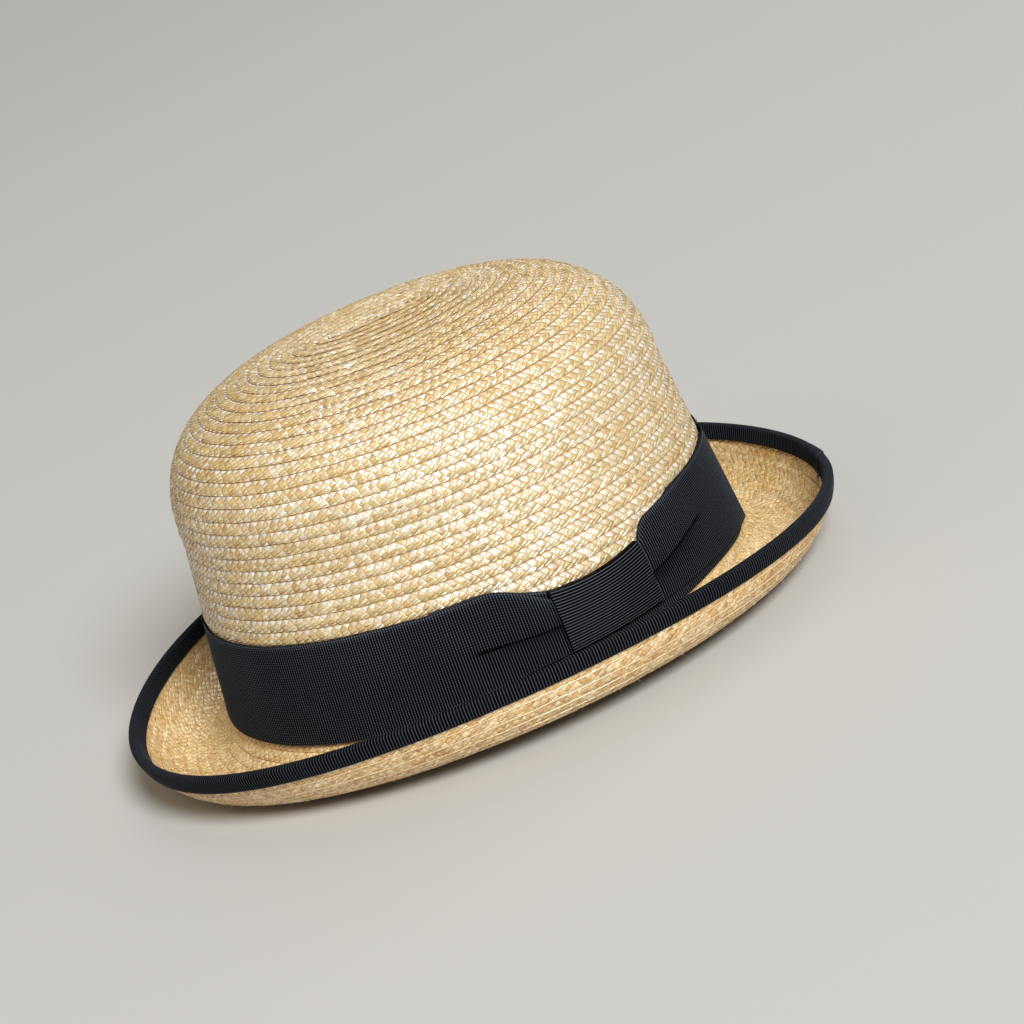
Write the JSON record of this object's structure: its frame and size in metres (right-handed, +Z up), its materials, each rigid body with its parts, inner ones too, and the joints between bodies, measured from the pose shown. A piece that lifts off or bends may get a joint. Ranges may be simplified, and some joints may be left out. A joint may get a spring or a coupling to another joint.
{
  "type": "straw bowler hat",
  "caption": "Straw bowler hat sewn from plaited rows: hollow domed oval crown, dipped brim with a rolled, ribbon-bound edge, and a dark ribbed band pinched under a flat knot.",
  "frame": {"origin": "centre of the hat on the surface it stands on, under the brim's lowest points", "axes": "+Z up along the crown's axis, -Y to the hat's front, +X to the wearer's left, where the bow is"},
  "size_m": [0.2296, 0.2778, 0.134],
  "materials": {
    "straw": "glossy natural straw plait, pale gold with cream and tan strands",
    "band_ribbon": "black grosgrain with a faint navy sheen, ribs across its length",
    "binding_ribbon": "black grosgrain, finely ribbed, folded over the brim's edge"
  },
  "bodies": {
    "root": {"crown": "straw", "brim": "straw", "brim_binding": "binding_ribbon", "hat_band": "band_ribbon", "bow_underlay": "band_ribbon", "bow_knot": "band_ribbon"}
  },
  "joints": []
}
